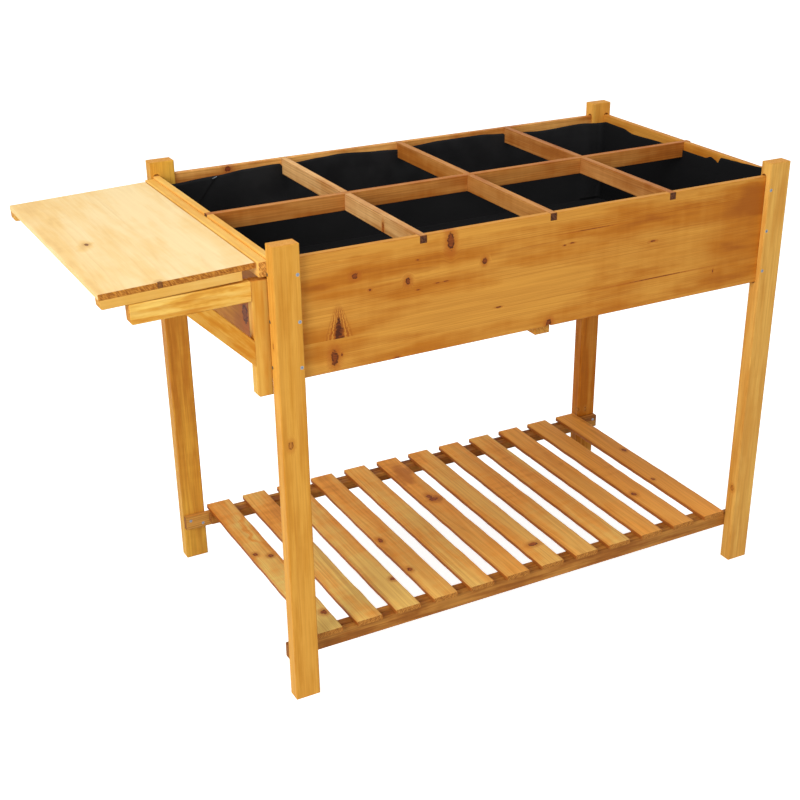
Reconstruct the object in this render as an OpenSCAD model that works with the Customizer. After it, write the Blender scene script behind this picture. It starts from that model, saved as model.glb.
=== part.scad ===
/* [Stand] */
// Length over the legs, without the side table
stand_l = 957; // [800:1:1300]
// Depth over the legs
stand_d = 547; // [450:1:700]
// Height of the legs
stand_h = 780; // [700:1:900]

/* [Legs] */
// Width of a leg, along the stand
leg_w = 43; // [40:0.5:60]
// Thickness of a leg, front to back
leg_t = 24.5; // [22:0.5:40]
// Rounding of the leg edges
leg_ease = 2; // [0.5:0.1:4]

/* [Panels] */
// Height of the panels
panel_h = 189; // [140:1:260]
// Thickness of the panels
panel_t = 11.5; // [9:0.5:14]
// Distance of the panels' top edge below the legs' tops
panel_drop = 24; // [10:1:60]
// Distance from a leg's front face to the long panel's face
long_inset = 9.8; // [8:0.1:10.5]
// Distance from a leg's end face to the end panel's face
end_inset = 4; // [3:0.1:6]
// Length of long panel held in a leg's groove
long_tongue = 10; // [8:0.5:14]
// Length of end panel held in a leg's groove
end_tongue = 6.5; // [5:0.5:8]
// Rounding of the board edges
board_ease = 1.6; // [0.4:0.1:2.5]
// Clearance around a panel in its groove
groove_gap = 0.25; // [0.1:0.05:0.5]

/* [Dividers] */
// Height of the divider boards
divider_h = 28; // [22:0.5:40]
// Thickness of the divider boards
divider_t = 12; // [9:0.5:16]
// Height of the tabs on the ends of the dividers
tab_h = 12; // [8:0.5:16]
// Place of the left cross divider along the stand
cross_1_x = 248.5; // [200:0.5:300]
// Place of the middle cross divider along the stand
cross_2_x = 481.5; // [420:0.5:540]
// Place of the right cross divider along the stand
cross_3_x = 715.5; // [660:0.5:760]
// How far the long divider's right tab stands out of the end panel
tab_proud = 4; // [0:0.5:4]
// Clearance of a divider in a notch or half lap, each side
lap_gap = 0.25; // [0.1:0.05:0.6]

/* [Floor of the bed] */
// Thickness of the floor boards
floor_t = 9; // [6:0.5:14]
// Height of the floor boards' underside above the panels' lower edge
floor_up = 10.5; // [8:0.5:30]
// Gap between floor boards, for drainage
floor_gap = 5; // [3:0.5:12]
// Gap between the legs or end panels and the boards fitted between them
fit_gap = 0.5; // [0.2:0.1:1.5]
// Thickness of the floor cleats
cleat_t = 12; // [10:0.5:16]
// Height of the floor cleats
cleat_h = 20; // [18:0.5:24]
// Width of the floor beam
beam_w = 28.5; // [24:0.5:40]
// Height of the floor beam
beam_h = 27; // [22:0.5:40]
// Place of the floor beam along the stand
beam_x = 475; // [450:0.5:500]
// Width of the slanted notch in the front panel, beside the floor beam
chip_w = 12; // [8:0.5:20]
// Height of the slanted notch
chip_h = 7; // [4:0.5:8]

/* [Liner] */
// Thickness of the fabric
liner_t = 1.2; // [0.8:0.1:2]
// Lowest edge of the liner, below the panels' top edge
liner_drop = 12.6; // [12.5:0.1:20]
// Rise of the wavy edge between two dividers
liner_wave = 5.5; // [1:0.5:8]
// Clearance between liner and wood
liner_gap = 0.3; // [0.2:0.05:0.6]

/* [Folding table] */
// Reach of the table past the legs
table_reach = 243; // [200:1:300]
// Gap from a leg's inner face to the table's end
table_end_gap = 6.5; // [1.5:0.5:20]
// Thickness of the table board
table_t = 8.7; // [7:0.1:14]
// Distance of the table's top face below the panels' top edge, at the hinges
table_drop = 5; // [3:0.5:12]
// Slope of the table down to its outer edge, in degrees
table_tilt = 2; // [1.5:0.1:2.5]
// Gap between table board and hinge rail
table_gap = 1.6; // [1.4:0.1:1.8]
// Height of the cleats under the table
table_cleat_h = 14.3; // [12:0.1:20]
// Distance from the hinge rail to the cleats' ends
table_cleat_gap = 22; // [16:0.5:40]
// Thickness of the hinge rail
hinge_rail_t = 15.5; // [14:0.5:20]
// Height of the hinge rail
hinge_rail_h = 23; // [22.5:0.5:27]
// Distance of the hinge rail's top below the panels' top edge
hinge_rail_drop = 3.5; // [0:0.5:4]

/* [Folding brackets] */
// Thickness of the bracket pieces, and of the cleats above them
bracket_t = 18; // [14:0.5:20]
// Length of the bracket arm, without the post
arm_l = 180.5; // [150:0.5:195]
// Height of the bracket arm
arm_h = 30.5; // [24:0.5:34]
// Slope of the bracket arm down to its outer end, in degrees
arm_slope = 0.9; // [0:0.1:1.2]
// Width of the bracket post
post_w = 25.2; // [22:0.1:26]
// Height of the bracket post
post_h = 182; // [150:1:200]
// Open length of the corner inside the brace
brace_open = 61; // [50:1:90]
// Width of the diagonal brace
brace_w = 29; // [20:0.5:32]
// Rounding of a free corner
corner_r = 6; // [3:0.5:9]
// Clearance between bracket and cleat, and between post and end panel
swing_gap = 0.3; // [0.2:0.05:0.6]

/* [Hinges] */
// Thickness of a hinge leaf
leaf_t = 1; // [0.8:0.1:1.2]
// Width of a bracket hinge leaf
leaf_w = 16; // [12:0.5:20]
// Width of the leaf on the hinge rail
rail_leaf_w = 9; // [7.5:0.5:10]
// Length of a hinge
leaf_l = 42; // [36:1:60]
// Distance from the pin's centre line to the face under a leaf
pin_off = 2; // [1.8:0.1:2.4]
// Radius of the hinge pin
pin_r = 0.9; // [0.7:0.05:1]
// Clearance of the pin in its knuckles
pin_gap = 0.05; // [0.03:0.01:0.08]
// Height of the lower bracket hinge above the post's foot
low_hinge = 32; // [28:1:50]
// Distance of the upper bracket hinge below the post's top
high_hinge = 34; // [28:1:50]
// Distance of each table hinge from the table's end
table_hinge_edge = 96.5; // [50:0.5:150]

/* [Shelf] */
// Height of the shelf rails' top face above the ground
shelf_z = 94.5; // [80:0.5:200]
// Thickness of the shelf rails
shelf_rail_t = 12; // [10:0.5:16]
// Height of the shelf rails
shelf_rail_h = 27; // [22:0.5:40]
// Width and height of the battens under the slats
batten_w = 17.5; // [14:0.5:20]
// Gap from a leg to the batten's end
batten_end = 3; // [1:0.5:8]
// Width of a slat
slat_w = 46.5; // [35:0.5:55]
// Thickness of a slat
slat_t = 9; // [7:0.5:12]
// Distance from the legs' front faces to the slats' ends
slat_inset = 18.5; // [10:0.5:24]
// Gap from a leg to the first and last slat
slat_end_gap = 7.45; // [2:0.05:30]

/* [Screws] */
// Radius of a wood screw's head
head_r = 2.8; // [2.4:0.1:3.4]
// Radius of a wood screw's shank
shank_r = 1.5; // [1.2:0.1:1.8]
// Length of the long wood screws
long_screw = 28; // [26:1:30]
// Length of the screws through the legs into the long panels
panel_screw = 20; // [17:0.5:21]
// Length of the screws through the legs into the end panels
end_screw = 14; // [12:0.5:15]
// Distance of the first and last panel screw from the panel's edge
screw_edge = 22.5; // [15:0.5:30]
// Distance of the outer hinge rail screws from the legs
rail_screw_end = 45; // [20:1:90]
// Distance of the inner hinge rail screws from the middle
rail_screw_mid = 59; // [30:1:90]
// Distance of the outer floor cleat screws from the legs
cleat_screw_end = 30; // [15:1:80]
// Distance of the inner floor cleat screw from the middle, where a divider's tab isn't
cleat_screw_mid = 25; // [15:1:60]
// Length of the hinge screws
hinge_screw = 8; // [6:0.5:8.5]

/* [Hidden] */
$fn = 32;
slat_n = 12;
board_n = 3;
cross_n = 3;

panel_top = stand_h - panel_drop;
panel_z = panel_top - panel_h;
groove_over = 3.5;                          // round groove end beyond the panel's edge
groove_w = panel_t + 2 * groove_gap;
inner_x = end_inset + panel_t;              // inner face of an end panel, from the stand's end
inner_y = long_inset + panel_t;             // inner face of a long panel, from the stand's front
middle_y = stand_d / 2;

cross_x = [cross_1_x, cross_2_x, cross_3_x];
lap_z = panel_top - divider_h / 2;
tab_z = panel_top - tab_h;
divider_in_x = inner_x + 2 * liner_gap + liner_t;
divider_in_y = inner_y + 2 * liner_gap + liner_t;

floor_z = panel_z + floor_up;
floor_top = floor_z + floor_t;
between_y = leg_t + fit_gap;                // where boards fitted between the legs start
board_w = (stand_d - 2 * between_y - (board_n - 1) * floor_gap) / board_n;
floor_screw_x = inner_x + cleat_t / 2;

liner_z = floor_top + liner_gap;
liner_low = panel_top - liner_drop;
liner_flat = divider_t / 2 + 2;             // straight edge where a divider crosses
wave_n = 12;

rail_x = end_inset - hinge_rail_t;          // outer face of the hinge rail
hinge_rail_z = panel_top - hinge_rail_drop - hinge_rail_h;
table_y = leg_t + table_end_gap;
table_l = stand_d - 2 * table_y;
table_hinge_y = table_l / 2 - table_hinge_edge;
table_under = panel_top - table_drop - table_t;
table_pin_x = rail_x - pin_off;
table_pin_z = table_under - pin_off;
// Reach of the sloped board from the pins' centre line, along the board
table_out = (table_reach + table_pin_x - (table_t + pin_off) * sin(table_tilt)) / cos(table_tilt);
table_w = table_out + pin_off - table_gap;
table_cleat_l = table_w + table_gap - table_cleat_gap;

post_x = end_inset - swing_gap - post_w;
arm_end_x = post_x - arm_l;
// The sloped arm's top is one clearance below the cleat at the arm's outer end
arm_top = table_pin_z + (arm_end_x - table_pin_x) * tan(table_tilt) - swing_gap
    - (table_cleat_h - pin_off) / cos(table_tilt) + arm_l * tan(arm_slope);
arm_z = arm_top - arm_h;
post_z = arm_top - post_h;
brace_long = (brace_open + brace_w * sqrt(2)) * sqrt(2) + 2 * brace_w;

knuckle_r = pin_off - 0.3;
run_gap = 0.3;                              // between neighbouring knuckles
leaf_corner = 2;
bracket_pin_x = end_inset - pin_off;
bracket_pin_y = table_y + bracket_t + pin_off;
bracket_hinge_z = [post_z + low_hinge, arm_top - high_hinge];
leaf_hole_x = 0.6;                          // share of a leaf's width from the pin to its screws
leaf_head_r = 2.2;
leaf_shank_r = 1.1;

shelf_batten_y = leg_t + shelf_rail_t + swing_gap;
slat_l = stand_d - 2 * slat_inset;
slat_x = leg_w + slat_end_gap;
slat_pitch = (stand_l - 2 * slat_x - slat_w) / (slat_n - 1);
rail_screws = [[10, 5], [34, -5]];          // along the rail, and up from its centre line

screw_gap = 0.05;
head_h = 1.6;
tip_h = 3;
cross_w = 0.7;
leg_screw_x = leg_w - long_tongue / 2;
leg_screw_y = leg_t - end_tongue / 2;
hinge_rail_screw_z = hinge_rail_z + hinge_rail_h / 2;
hinge_rail_screw_y = [leg_t + rail_screw_end, middle_y - rail_screw_mid,
                      middle_y + rail_screw_mid, stand_d - leg_t - rail_screw_end];
cleat_screw_y = [leg_t + cleat_screw_end, middle_y - cleat_screw_mid,
                 stand_d - leg_t - cleat_screw_end];
cleat_screw_z = (panel_z + floor_z) / 2;

origin_x = (stand_l - table_reach) / 2;
leg_color = "#d9a441";
panel_color = "#c8843a";
divider_color = "#b9824f";
table_color = "#f3dca0";
bracket_color = "#e0a545";
slat_color = "#c98a3e";
zinc_color = "#c9ccd0";
steel_color = "#9fa3a8";
liner_color = "#1c1c1e";

NODES = concat(
    ["leg_front_left", "leg_front_right", "leg_rear_left", "leg_rear_right",
     "panel_front", "panel_rear", "panel_left", "panel_right"],
    [for (i = [1 : board_n]) str("floor_board_", i)],
    ["floor_cleat_left", "floor_cleat_right", "floor_beam", "liner", "divider_long"],
    [for (i = [1 : cross_n]) str("divider_cross_", i)],
    ["hinge_rail", "table_top", "table_cleat_front", "table_cleat_rear",
     "table_hinge_rail_leaves", "table_hinge_table_leaves", "table_hinge_pins",
     "front_bracket_arm", "front_bracket_post", "front_bracket_brace",
     "rear_bracket_arm", "rear_bracket_post", "rear_bracket_brace",
     "front_hinge_fixed_leaves", "front_hinge_moving_leaves", "front_hinge_pins",
     "rear_hinge_fixed_leaves", "rear_hinge_moving_leaves", "rear_hinge_pins",
     "shelf_rail_front", "shelf_rail_rear", "shelf_batten_front", "shelf_batten_rear"],
    [for (i = [1 : slat_n]) str("shelf_slat_", i)],
    ["panel_screws", "frame_screws", "frame_hinge_screws", "table_hinge_screws",
     "front_bracket_screws", "rear_bracket_screws"]
);
node = "all";

// Everything is laid out from the front left leg's outer corner, then centred on the whole object
module place() {
    translate([-origin_x, -middle_y, 0]) children();
}

module flip_x(on) {
    if (on) translate([stand_l, 0, 0]) mirror([1, 0, 0]) children();
    else children();
}

module flip_y(on) {
    if (on) translate([0, stand_d, 0]) mirror([0, 1, 0]) children();
    else children();
}

module rounded_rect(w, h, r) {
    translate([r, 0]) square([w - 2 * r, h]);
    translate([0, r]) square([w, h - 2 * r]);
    for (x = [r, w - r], y = [r, h - r]) translate([x, y]) circle(r = r);
}

// Sawn board with every edge eased
module board(s, r) {
    intersection() {
        linear_extrude(s[2]) rounded_rect(s[0], s[1], r);
        translate([0, s[1], 0]) rotate([90, 0, 0]) linear_extrude(s[1]) rounded_rect(s[0], s[2], r);
        rotate([90, 0, 90]) linear_extrude(s[0]) rounded_rect(s[1], s[2], r);
    }
}

// Outline with one rounded corner, at its lower left
module round_corner_rect(w, h, r) {
    translate([r, 0]) square([w - r, h]);
    translate([0, r]) square([w, h - r]);
    translate([r, r]) circle(r = r);
}

// Board along X whose lower left corner is rounded, as seen from the front
module round_end_board(s, r) {
    intersection() {
        board(s, board_ease);
        translate([0, s[1], 0]) rotate([90, 0, 0]) linear_extrude(s[1])
            round_corner_rect(s[0], s[2], r);
    }
}

// Countersunk screw along +Z, its head flush with the face at zero
module screw(len, hr = head_r, sr = shank_r, hh = head_h) {
    difference() {
        union() {
            cylinder(h = hh, r1 = hr, r2 = sr);
            cylinder(h = len - tip_h, r = sr);
            translate([0, 0, len - tip_h]) cylinder(h = tip_h, r1 = sr, r2 = sr / 5);
        }
        for (a = [0, 90]) rotate([0, 0, a])
            translate([-hr * 0.65, -cross_w / 2, -1]) cube([hr * 1.3, cross_w, 1 + hh / 2]);
    }
}

module screw_hole(len, hr = head_r, sr = shank_r, hh = head_h) {
    cylinder(h = hh, r1 = hr + screw_gap, r2 = sr + screw_gap);
    cylinder(h = len + screw_gap, r = sr + screw_gap);
}

// Screws through a front leg into the long panel, at the front left corner
module long_panel_sites() {
    for (z = [screw_edge, panel_h / 2, panel_h - screw_edge])
        translate([leg_screw_x, 0, panel_z + z]) rotate([-90, 0, 0]) children();
}

// Screws through a leg's end face into the end panel, at the front left corner
module end_panel_sites() {
    for (z = [screw_edge, panel_h / 2, panel_h - screw_edge])
        translate([0, leg_screw_y, panel_z + z]) rotate([0, 90, 0]) children();
}

// Screws through a shelf rail into the leg, at the front left corner
module shelf_rail_sites() {
    for (s = rail_screws)
        translate([s[0], leg_t + shelf_rail_t, shelf_z - shelf_rail_h / 2 + s[1]])
            rotate([90, 0, 0]) children();
}

// Screws through the left end panel into the hinge rail
module hinge_rail_sites() {
    for (y = hinge_rail_screw_y)
        translate([inner_x, y, hinge_rail_screw_z]) rotate([0, -90, 0]) children();
}

// Screws through the left floor cleat into its end panel
module cleat_sites() {
    for (y = cleat_screw_y)
        translate([inner_x + cleat_t, y, cleat_screw_z]) rotate([0, -90, 0]) children();
}

// Screws down through the floor boards into the cleats and the beam
module floor_sites() {
    for (x = [floor_screw_x, beam_x, stand_l - floor_screw_x], i = [1 : board_n])
        translate([x, floor_board_y(i) + board_w / 2, floor_top]) rotate([180, 0, 0]) children();
}

function floor_board_y(i) = between_y + (i - 1) * (board_w + floor_gap);

// Groove with round ends for a panel's edge, cut along +X from zero
module groove(depth) {
    r = groove_w / 2;
    low = panel_z - groove_over + r;
    high = panel_top + groove_over - r;
    translate([0, -r, low]) cube([depth, groove_w, high - low]);
    for (z = [low, high]) translate([0, 0, z]) rotate([0, 90, 0]) cylinder(h = depth, r = r);
}

module leg(right, rear) {
    color(leg_color) place() flip_x(right) flip_y(rear) difference() {
        board([leg_w, leg_t, stand_h], leg_ease);
        translate([leg_w - long_tongue - groove_gap, long_inset + panel_t / 2, 0])
            groove(long_tongue + 1);
        translate([end_inset + panel_t / 2, leg_t + 1, 0]) rotate([0, 0, -90])
            groove(end_tongue + groove_gap + 1);
        long_panel_sites() screw_hole(panel_screw);
        end_panel_sites() screw_hole(end_screw);
        shelf_rail_sites() screw_hole(long_screw);
    }
}

// Notch for a divider's tab, open at the top, centred on zero and cut along +Y
module tab_notch() {
    translate([-divider_t / 2 - lap_gap, -1, tab_z])
        cube([divider_t + 2 * lap_gap, panel_t + 2, tab_h + 1]);
}

module long_panel() {
    x0 = leg_w - long_tongue;
    difference() {
        translate([x0, long_inset, panel_z]) board([stand_l - 2 * x0, panel_t, panel_h], board_ease);
        for (x = cross_x) translate([x, long_inset, 0]) tab_notch();
        for (right = [false, true]) flip_x(right) long_panel_sites() screw_hole(panel_screw);
    }
}

module panel_front() {
    x1 = beam_x + beam_w / 3;
    color(panel_color) place() difference() {
        long_panel();
        translate([0, inner_y + 1, panel_z]) rotate([90, 0, 0]) linear_extrude(panel_t + 2)
            polygon([[x1 - chip_w, -0.01], [x1, chip_h], [x1, -1], [x1 - chip_w, -1]]);
    }
}

module panel_rear() {
    color(panel_color) place() flip_y(true) long_panel();
}

module end_panel() {
    y0 = leg_t - end_tongue;
    difference() {
        translate([end_inset, y0, panel_z]) board([panel_t, stand_d - 2 * y0, panel_h], board_ease);
        translate([end_inset + panel_t, middle_y, 0]) rotate([0, 0, 90]) tab_notch();
        for (rear = [false, true]) flip_y(rear) end_panel_sites() screw_hole(end_screw);
        cleat_sites() screw_hole(panel_screw);
    }
}

module panel_left() {
    color(panel_color) place() difference() {
        end_panel();
        hinge_rail_sites() screw_hole(panel_screw);
        for (rear = [false, true]) fixed_leaf_sites(rear) leaf_screw_hole(leaf_w);
    }
}

module panel_right() {
    color(panel_color) place() flip_x(true) end_panel();
}

module floor_board(i) {
    color(panel_color) place() difference() {
        translate([inner_x + fit_gap, floor_board_y(i), floor_z])
            board([stand_l - 2 * (inner_x + fit_gap), board_w, floor_t], board_ease);
        floor_sites() screw_hole(long_screw);
    }
}

module floor_cleat(right) {
    color(panel_color) place() difference() {
        flip_x(right) difference() {
            translate([inner_x, between_y, floor_z - cleat_h])
                board([cleat_t, stand_d - 2 * between_y, cleat_h], board_ease);
            cleat_sites() screw_hole(panel_screw);
        }
        floor_sites() screw_hole(long_screw);
    }
}

module floor_beam() {
    color(bracket_color) place() difference() {
        translate([beam_x - beam_w / 2, inner_y, floor_z - beam_h])
            board([beam_w, stand_d - 2 * inner_y, beam_h], board_ease);
        floor_sites() screw_hole(long_screw);
    }
}

// Heights of the wavy edge over a list of bays, each from its start to its end
function wave_edge(bays) = [for (b = bays, k = [0 : wave_n])
    [b[0] + (b[1] - b[0]) * k / wave_n, liner_low + liner_wave * sin(180 * k / wave_n)]];

// Plan of the liner, which steps in around the legs
module liner_plan(inset) {
    end_x = inner_x + liner_gap + inset;
    end_y = leg_t + liner_gap + inset;
    long_x = leg_w + liner_gap + inset;
    long_y = inner_y + liner_gap + inset;
    translate([end_x, end_y]) square([stand_l - 2 * end_x, stand_d - 2 * end_y]);
    translate([long_x, long_y]) square([stand_l - 2 * long_x, stand_d - 2 * long_y]);
}

// What the wavy edge leaves out of a wall in the XZ plane, drawn towards -Y
module over_wave(bays, depth) {
    high = liner_low + liner_wave + 1;
    last = bays[len(bays) - 1];
    rotate([90, 0, 0]) linear_extrude(depth)
        polygon(concat([[bays[0][0], high]], wave_edge(bays), [[last[1], high]]));
}

module liner() {
    x0 = inner_x + liner_gap + liner_t;
    y0 = leg_t + liner_gap - 1;
    f = liner_flat;
    long_bays = [[x0, cross_x[0] - f], [cross_x[0] + f, cross_x[1] - f],
                 [cross_x[1] + f, cross_x[2] - f], [cross_x[2] + f, stand_l - x0]];
    end_bays = [[y0, middle_y - f], [middle_y + f, stand_d - y0]];
    color(liner_color) place() difference() {
        translate([0, 0, liner_z]) linear_extrude(liner_low + liner_wave - liner_z) liner_plan(0);
        translate([0, 0, liner_z + liner_t]) linear_extrude(liner_low + liner_wave) liner_plan(liner_t);
        translate([0, stand_d, 0]) over_wave(long_bays, stand_d);
        for (right = [false, true]) flip_x(right)
            translate([x0 - liner_t - 1, 0, 0]) rotate([0, 0, 90]) over_wave(end_bays, liner_t + 1);
    }
}

// The long divider keeps its upper half where it crosses the others
module divider_long() {
    x0 = end_inset + lap_gap;
    x1 = stand_l - end_inset + tab_proud;
    z0 = panel_top - divider_h;
    color(divider_color) place() difference() {
        translate([x0, middle_y - divider_t / 2, z0]) board([x1 - x0, divider_t, divider_h], board_ease / 2);
        for (x = [x0 - 1, stand_l - divider_in_x])
            translate([x, middle_y - divider_t, z0 - 1])
                cube([divider_in_x + x1 - stand_l, 2 * divider_t, divider_h - tab_h + 1]);
        for (x = cross_x) translate([x - divider_t / 2 - lap_gap, middle_y - divider_t, z0 - 1])
            cube([divider_t + 2 * lap_gap, 2 * divider_t, divider_h / 2 + 1]);
    }
}

module divider_cross(i) {
    y0 = long_inset;
    z0 = panel_top - divider_h;
    cut = divider_in_y - y0 + 1;
    color(divider_color) place() translate([cross_x[i - 1] - divider_t / 2, 0, 0]) difference() {
        translate([0, y0, z0]) board([divider_t, stand_d - 2 * y0, divider_h], board_ease / 2);
        for (rear = [false, true]) flip_y(rear)
            translate([-1, y0 - 1, z0 - 1]) cube([divider_t + 2, cut, divider_h - tab_h + 1]);
        translate([-1, middle_y - divider_t / 2 - lap_gap, lap_z])
            cube([divider_t + 2, divider_t + 2 * lap_gap, divider_h / 2 + 1]);
    }
}

module hinge_rail() {
    color(bracket_color) place() difference() {
        translate([rail_x, between_y, hinge_rail_z])
            board([hinge_rail_t, stand_d - 2 * between_y, hinge_rail_h], board_ease);
        hinge_rail_sites() screw_hole(panel_screw);
        rail_leaf_sites() leaf_screw_hole(rail_leaf_w);
    }
}

// Turns the table's pieces down to its slope, about the pins' centre line
module table_sloped() {
    translate([table_pin_x, 0, table_pin_z]) rotate([0, -table_tilt, 0])
        translate([-table_pin_x, 0, -table_pin_z]) children();
}

module table_top() {
    color(table_color) place() table_sloped() difference() {
        translate([table_pin_x - table_out, table_y, table_under])
            board([table_w, table_l, table_t], board_ease / 2);
        table_leaf_sites() leaf_screw_hole(leaf_w);
    }
}

module table_cleat(rear) {
    color(bracket_color) place() flip_y(rear) table_sloped()
        translate([table_pin_x - table_out, table_y, table_under - table_cleat_h])
            round_end_board([table_cleat_l, bracket_t, table_cleat_h], corner_r);
}

// Turns the arm down to its slope, about its lower corner at the post
module arm_sloped() {
    translate([post_x, 0, arm_z]) rotate([0, -arm_slope, 0]) translate([-post_x, 0, -arm_z]) children();
}

// All that lies outside the post, up to a height
module outside_post(high) {
    far = 2 * (arm_l + brace_long);
    translate([post_x - far, table_y - 1, high - far]) cube([far, bracket_t + 2, far]);
}

module bracket_arm(rear) {
    color(bracket_color) place() flip_y(rear) intersection() {
        arm_sloped() translate([arm_end_x, table_y, arm_z])
            round_end_board([arm_l + corner_r, bracket_t, arm_h], corner_r);
        outside_post(arm_top + arm_h);
    }
}

module bracket_post(rear) {
    color(bracket_color) place() difference() {
        flip_y(rear) translate([post_x, table_y, post_z])
            round_end_board([post_w, bracket_t, post_h], corner_r);
        moving_leaf_sites(rear) leaf_screw_hole(leaf_w);
    }
}

// The brace runs at 45 degrees from under the arm to the post's outer face
module bracket_brace(rear) {
    color(bracket_color) place() flip_y(rear) intersection() {
        translate([post_x, table_y, arm_z - brace_open]) rotate([0, 45, 0])
            translate([-brace_long + brace_w, 0, -brace_w]) board([brace_long, bracket_t, brace_w], board_ease);
        outside_post(arm_z);
        arm_sloped() translate([corner_r, 0, 0]) outside_post(arm_z);
    }
}

// Hinge leaf on a pin along Z: the plate runs along +X, with the wood on its -Y side
module leaf(w, outer) {
    pair = [[-leaf_l / 2, -leaf_l / 6], [leaf_l / 6, leaf_l / 2]];
    single = [[-leaf_l / 6, leaf_l / 6]];
    difference() {
        union() {
            difference() {
                translate([0, leaf_t - pin_off, -leaf_l / 2]) rotate([90, 0, 0]) linear_extrude(leaf_t)
                    rounded_rect(w, leaf_l, leaf_corner);
                for (s = outer ? single : pair) translate([-1, -pin_off - 1, s[0] - run_gap / 2])
                    cube([knuckle_r + run_gap + 1, leaf_t + 2, s[1] - s[0] + run_gap]);
            }
            for (s = outer ? pair : single) translate([0, 0, s[0] + run_gap / 2])
                cylinder(h = s[1] - s[0] - run_gap, r = knuckle_r);
        }
        translate([0, 0, -leaf_l]) cylinder(h = 2 * leaf_l, r = pin_r + pin_gap);
        leaf_screw_hole(w);
    }
}

module leaf_screw_places(w) {
    for (z = [-leaf_l / 3, leaf_l / 3])
        translate([w * leaf_hole_x, leaf_t - pin_off, z]) rotate([90, 0, 0]) children();
}

module leaf_screw_hole(w) {
    leaf_screw_places(w) screw_hole(hinge_screw, leaf_head_r, leaf_shank_r, leaf_t);
}

module leaf_screws(w) {
    leaf_screw_places(w) screw(hinge_screw, leaf_head_r, leaf_shank_r, leaf_t);
}

module hinge_pin() {
    translate([0, 0, -leaf_l / 2]) cylinder(h = leaf_l, r = pin_r);
}

module bracket_pin_sites(rear) {
    flip_y(rear) for (z = bracket_hinge_z) translate([bracket_pin_x, bracket_pin_y, z]) children();
}

module fixed_leaf_sites(rear) {
    bracket_pin_sites(rear) rotate([0, 0, 90]) children();
}

module moving_leaf_sites(rear) {
    bracket_pin_sites(rear) mirror([1, 0, 0]) children();
}

module table_pin_sites() {
    for (side = [-1, 1]) translate([table_pin_x, middle_y + side * table_hinge_y, table_pin_z])
        children();
}

module rail_leaf_sites() {
    table_pin_sites() rotate([0, 90, 0]) rotate([-90, 0, 0]) children();
}

module table_leaf_sites() {
    table_pin_sites() rotate([0, 180, 0]) rotate([90, 0, 0]) children();
}

module shelf_rail(rear) {
    color(slat_color) place() difference() {
        flip_y(rear) translate([0, leg_t, shelf_z - shelf_rail_h])
            board([stand_l, shelf_rail_t, shelf_rail_h], board_ease);
        for (right = [false, true]) flip_x(right) flip_y(rear) shelf_rail_sites() screw_hole(long_screw);
    }
}

module shelf_batten(rear) {
    x0 = leg_w + batten_end;
    color(slat_color) place() flip_y(rear) translate([x0, shelf_batten_y, shelf_z - batten_w])
        board([stand_l - 2 * x0, batten_w, batten_w], board_ease);
}

module shelf_slat(i) {
    color(slat_color) place() translate([slat_x + (i - 1) * slat_pitch, slat_inset, shelf_z])
        board([slat_w, slat_l, slat_t], board_ease);
}

module panel_screws() {
    color(zinc_color) place() for (right = [false, true], rear = [false, true])
        flip_x(right) flip_y(rear) {
            long_panel_sites() screw(panel_screw);
            end_panel_sites() screw(end_screw);
        }
}

module frame_screws() {
    color(zinc_color) place() {
        for (right = [false, true], rear = [false, true])
            flip_x(right) flip_y(rear) shelf_rail_sites() screw(long_screw);
        for (right = [false, true]) flip_x(right) cleat_sites() screw(panel_screw);
        hinge_rail_sites() screw(panel_screw);
        floor_sites() screw(long_screw);
    }
}

function wanted(name) = node == "all" || node == name;

for (right = [false, true], rear = [false, true])
    if (wanted(str("leg_", rear ? "rear" : "front", "_", right ? "right" : "left"))) leg(right, rear);
if (wanted("panel_front")) panel_front();
if (wanted("panel_rear")) panel_rear();
if (wanted("panel_left")) panel_left();
if (wanted("panel_right")) panel_right();
for (i = [1 : board_n]) if (wanted(str("floor_board_", i))) floor_board(i);
if (wanted("floor_cleat_left")) floor_cleat(false);
if (wanted("floor_cleat_right")) floor_cleat(true);
if (wanted("floor_beam")) floor_beam();
if (wanted("liner")) liner();
if (wanted("divider_long")) divider_long();
for (i = [1 : cross_n]) if (wanted(str("divider_cross_", i))) divider_cross(i);
if (wanted("hinge_rail")) hinge_rail();
if (wanted("table_top")) table_top();
if (wanted("table_cleat_front")) table_cleat(false);
if (wanted("table_cleat_rear")) table_cleat(true);
if (wanted("table_hinge_rail_leaves"))
    color(steel_color) place() rail_leaf_sites() leaf(rail_leaf_w, true);
if (wanted("table_hinge_table_leaves"))
    color(steel_color) place() table_sloped() table_leaf_sites() leaf(leaf_w, false);
if (wanted("table_hinge_pins")) color(steel_color) place() rail_leaf_sites() hinge_pin();
for (rear = [false, true]) {
    side = rear ? "rear" : "front";
    if (wanted(str(side, "_bracket_arm"))) bracket_arm(rear);
    if (wanted(str(side, "_bracket_post"))) bracket_post(rear);
    if (wanted(str(side, "_bracket_brace"))) bracket_brace(rear);
    if (wanted(str(side, "_hinge_fixed_leaves")))
        color(steel_color) place() fixed_leaf_sites(rear) leaf(leaf_w, true);
    if (wanted(str(side, "_hinge_moving_leaves")))
        color(steel_color) place() moving_leaf_sites(rear) leaf(leaf_w, false);
    if (wanted(str(side, "_hinge_pins"))) color(steel_color) place() fixed_leaf_sites(rear) hinge_pin();
    if (wanted(str("shelf_rail_", side))) shelf_rail(rear);
    if (wanted(str("shelf_batten_", side))) shelf_batten(rear);
    if (wanted(str(side, "_bracket_screws")))
        color(zinc_color) place() moving_leaf_sites(rear) leaf_screws(leaf_w);
}
for (i = [1 : slat_n]) if (wanted(str("shelf_slat_", i))) shelf_slat(i);
if (wanted("panel_screws")) panel_screws();
if (wanted("frame_screws")) frame_screws();
if (wanted("frame_hinge_screws")) color(zinc_color) place() {
    rail_leaf_sites() leaf_screws(rail_leaf_w);
    for (rear = [false, true]) fixed_leaf_sites(rear) leaf_screws(leaf_w);
}
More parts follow.
